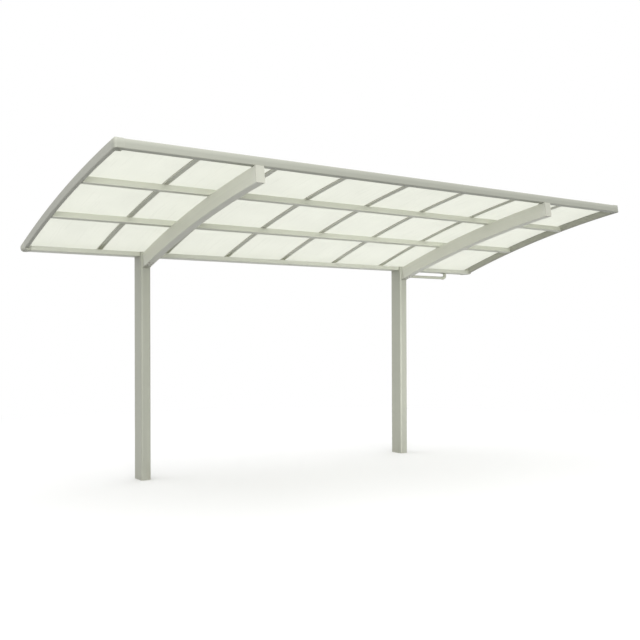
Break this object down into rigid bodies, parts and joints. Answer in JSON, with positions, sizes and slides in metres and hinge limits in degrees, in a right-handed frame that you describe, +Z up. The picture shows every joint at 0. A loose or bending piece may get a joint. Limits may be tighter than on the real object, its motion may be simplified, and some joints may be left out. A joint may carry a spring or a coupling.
{
  "type": "carport",
  "caption": "Cantilever carport with a curved roof of milky panels in a slim metal frame, carried by curved beams on posts along its rear edge, with a rear gutter and drain.",
  "frame": {"origin": "middle of the left post's foot, at ground level", "axes": "+X along the row of posts, from the left post to the right one; +Y to the rear; +Z up"},
  "size_m": [5, 2.1313, 2.4934],
  "materials": {
    "posts": "satin",
    "roof_metal": "satin",
    "fittings": "satin",
    "milky_sheet": "translucent, softly glossy",
    "corner_plastic": "matte",
    "drain_plastic": "matte"
  },
  "bodies": {
    "root": {"left_post": "posts", "right_post": "posts", "left_post_cap": "posts", "right_post_cap": "posts", "left_beam_root": "roof_metal", "right_beam_root": "roof_metal", "left_beam": "roof_metal", "right_beam": "roof_metal", "left_beam_end_cap": "roof_metal", "right_beam_end_cap": "roof_metal", "upper_purlin": "roof_metal", "lower_purlin": "roof_metal", "front_frame": "roof_metal", "rear_gutter": "roof_metal", "left_side_frame": "roof_metal", "right_side_frame": "roof_metal", "rafter_1": "roof_metal", "rafter_2": "roof_metal", "rafter_3": "roof_metal", "rafter_4": "roof_metal", "rafter_5": "roof_metal", "rafter_6": "roof_metal", "rafter_7": "roof_metal", "clamp_bars": "roof_metal", "left_beam_clips": "fittings", "right_beam_clips": "fittings", "pipe_clips": "fittings", "panel_1": "milky_sheet", "panel_2": "milky_sheet", "panel_3": "milky_sheet", "panel_4": "milky_sheet", "panel_5": "milky_sheet", "panel_6": "milky_sheet", "panel_7": "milky_sheet", "panel_8": "milky_sheet", "front_left_corner_cap": "corner_plastic", "front_right_corner_cap": "corner_plastic", "rear_left_corner_cap": "corner_plastic", "rear_right_corner_cap": "corner_plastic", "drain_outlet": "drain_plastic", "drain_elbow": "drain_plastic", "drain_pipe": "drain_plastic", "post_elbow": "drain_plastic", "downpipe": "drain_plastic", "downpipe_shoe": "drain_plastic"}
  },
  "joints": []
}
